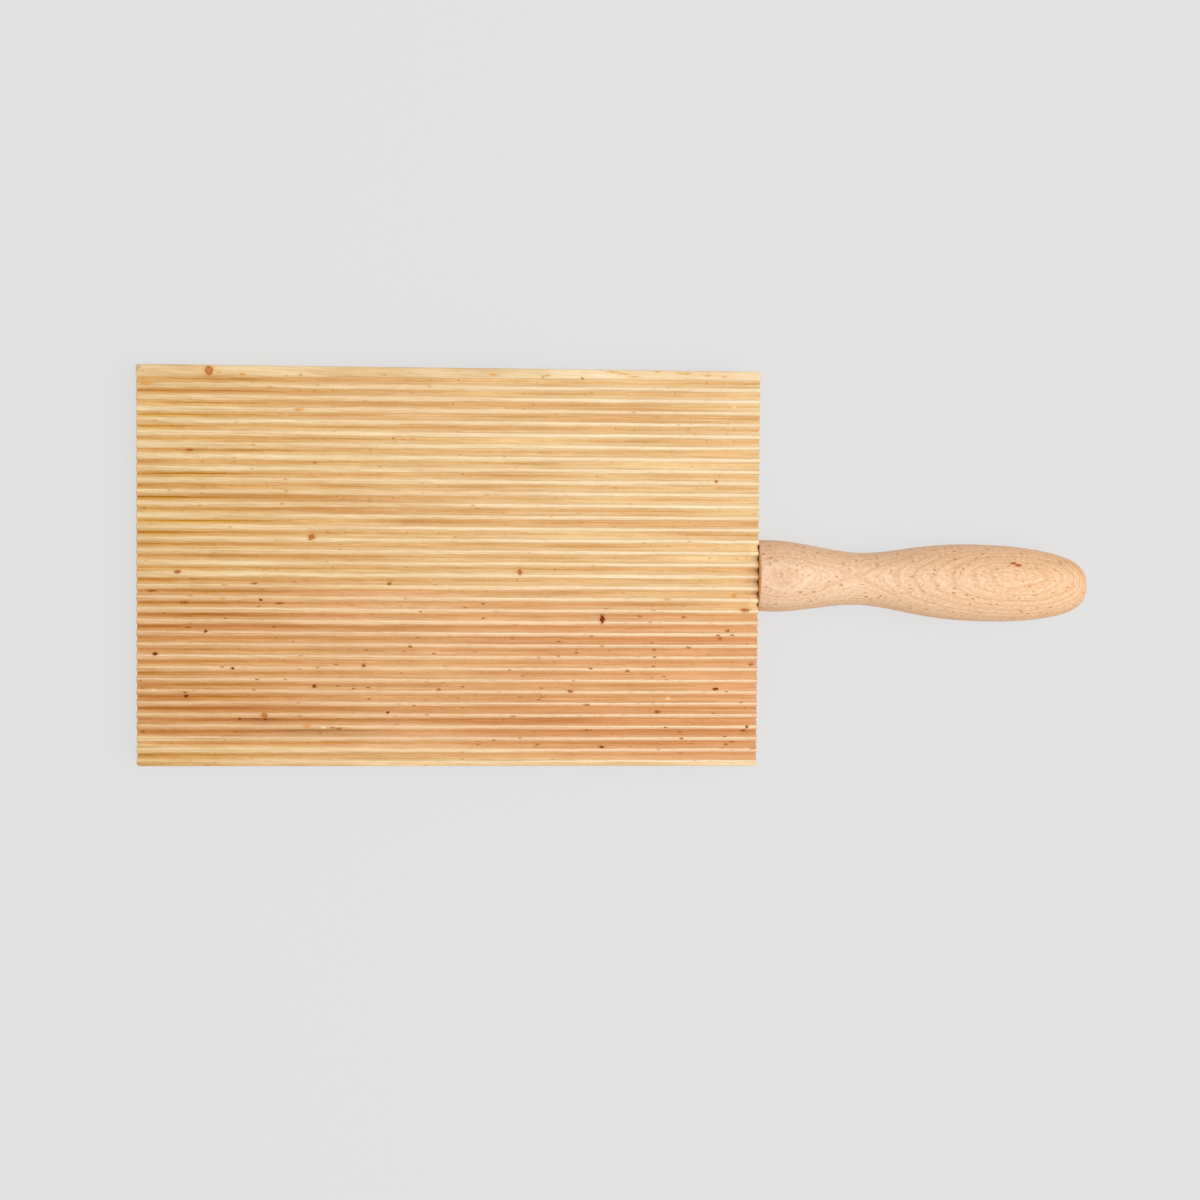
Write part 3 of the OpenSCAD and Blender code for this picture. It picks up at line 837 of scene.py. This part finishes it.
# The end face that meets the plank is browner end grain, painted a little paler to make up for the shade it
# stands in. Below the plank's top it is nearly black, as painted shade of the narrow gap where they meet and
# as glue.
end_face = add(tree, "MapRange", "Result", {"Value": axes["X"], "From Min": shoulder_x + 0.12,
                                            "From Max": shoulder_x + 0.04})
colour = add(tree, "Mix", 2, {0: end_face, 6: colour, 7: linear("#f3ad5c")}, data_type="RGBA")
glue_and_gap_shade = add(tree, "MapRange", "Result", {"Value": axes["Z"], "From Min": thickness - 0.2,
                                         "From Max": thickness - 0.7})
glue_and_gap_shade = add(tree, "Math", 0, {0: glue_and_gap_shade, 1: end_face}, operation="MULTIPLY")
under = add(tree, "MapRange", "Result", {"Value": axes["Z"], "From Min": -0.1, "From Max": 0.3})
glue_and_gap_shade = add(tree, "Math", 0, {0: glue_and_gap_shade, 1: under}, operation="MULTIPLY")
colour = add(tree, "Mix", 2, {0: glue_and_gap_shade, 6: colour, 7: linear("#2c1402")}, data_type="RGBA")
tree.links.new(colour, wood.inputs["Base Color"])
wood.inputs["Roughness"].default_value = 0.5
wood.inputs["Specular IOR Level"].default_value = 0.3
relief = add(tree, "Bump", "Normal", {"Height": pores, "Strength": 0.25, "Distance": 0.04 * MM})
tree.links.new(relief, wood.inputs["Normal"])
handle_mesh.materials.append(beech)

# Table
# A plain pale table that the object rests on, as it would: on the plank's free end and the shoulder, which
# hangs 2.85 mm lower than the underside. It glows towards the camera, which keeps its grey even.
glow_share = 0.87
tilt = max(math.atan2(-v.co.z, v.co.x + half_length * MM) for v in handle_mesh.vertices)
ground = linear("#e2e2e2")
floor_mesh = bpy.data.meshes.new("table")
far = 3.0
floor_mesh.from_pydata([(-far, -far, 0), (far, -far, 0), (far, far, 0), (-far, far, 0)], [], [(0, 1, 2, 3)])
table = bpy.data.objects.new("table", floor_mesh)
table.location = (-half_length * MM, 0, 0)
table.rotation_euler = (0, tilt, 0)
bpy.context.scene.collection.objects.link(table)
paper = bpy.data.materials.new("pale_table")
paper.use_nodes = True
tree = paper.node_tree
paint = tree.nodes["Principled BSDF"]
paint.inputs["Base Color"].default_value = ground
paint.inputs["Roughness"].default_value = 0.9
paint.inputs["Specular IOR Level"].default_value = 0.2
glow = add(tree, "Emission", "Emission", {"Color": ground, "Strength": 1.0})
seen = add(tree, "LightPath", "Is Camera Ray", {})
share = add(tree, "Math", 0, {0: seen, 1: glow_share}, operation="MULTIPLY")
both = add(tree, "MixShader", "Shader", {0: share, 1: paint.outputs["BSDF"], 2: glow})
tree.links.new(both, tree.nodes["Material Output"].inputs["Surface"])
floor_mesh.materials.append(paper)

# Light
# Even white surroundings and one large soft lamp overhead, a little towards the handle and the -Y side.
surroundings = 0.53
lamp_place = (0.34, -0.03, 0.72)
lamp_aim = (0.06, 0, 0)
lamp_size = 0.6
lamp_share = 0.72
world = bpy.data.worlds.new("studio")
bpy.context.scene.world = world
world.use_nodes = True
tree = world.node_tree
even = tree.nodes["Background"]
even.inputs["Color"].default_value = (1, 1, 1, 1)
even.inputs["Strength"].default_value = surroundings
backdrop = add(tree, "Background", "Background", {"Color": ground, "Strength": 1.0})
seen = add(tree, "LightPath", "Is Camera Ray", {})
both = add(tree, "MixShader", "Shader", {0: seen, 1: even.outputs["Background"], 2: backdrop})
tree.links.new(both, tree.nodes["World Output"].inputs["Surface"])

lamp_data = bpy.data.lights.new("softbox", "AREA")
lamp_data.size = lamp_size
toward = Vector(lamp_aim) - Vector(lamp_place)
lamp_data.energy = lamp_share * math.pi ** 2 * toward.length_squared
lamp = bpy.data.objects.new("softbox", lamp_data)
lamp.location = lamp_place
lamp.rotation_euler = toward.to_track_quat("-Z", "Y").to_euler()
bpy.context.scene.collection.objects.link(lamp)

# Camera
# The photograph was taken from almost straight above, 443 mm from the underside. The camera's place and turn
# were worked out from the plank's corners in it.
camera_place = (0.003365, 0.01155, 0.442619)
camera_turn = (-2.4527, -3.8121, 0.4448)
camera_data = bpy.data.cameras.new("camera")
camera_data.lens = 60
camera_data.sensor_width = 36
camera = bpy.data.objects.new("camera", camera_data)
camera.location = camera_place
camera.rotation_euler = [math.radians(a) for a in camera_turn]
bpy.context.scene.collection.objects.link(camera)
bpy.context.scene.camera = camera
bpy.context.scene.view_settings.view_transform = "Standard"
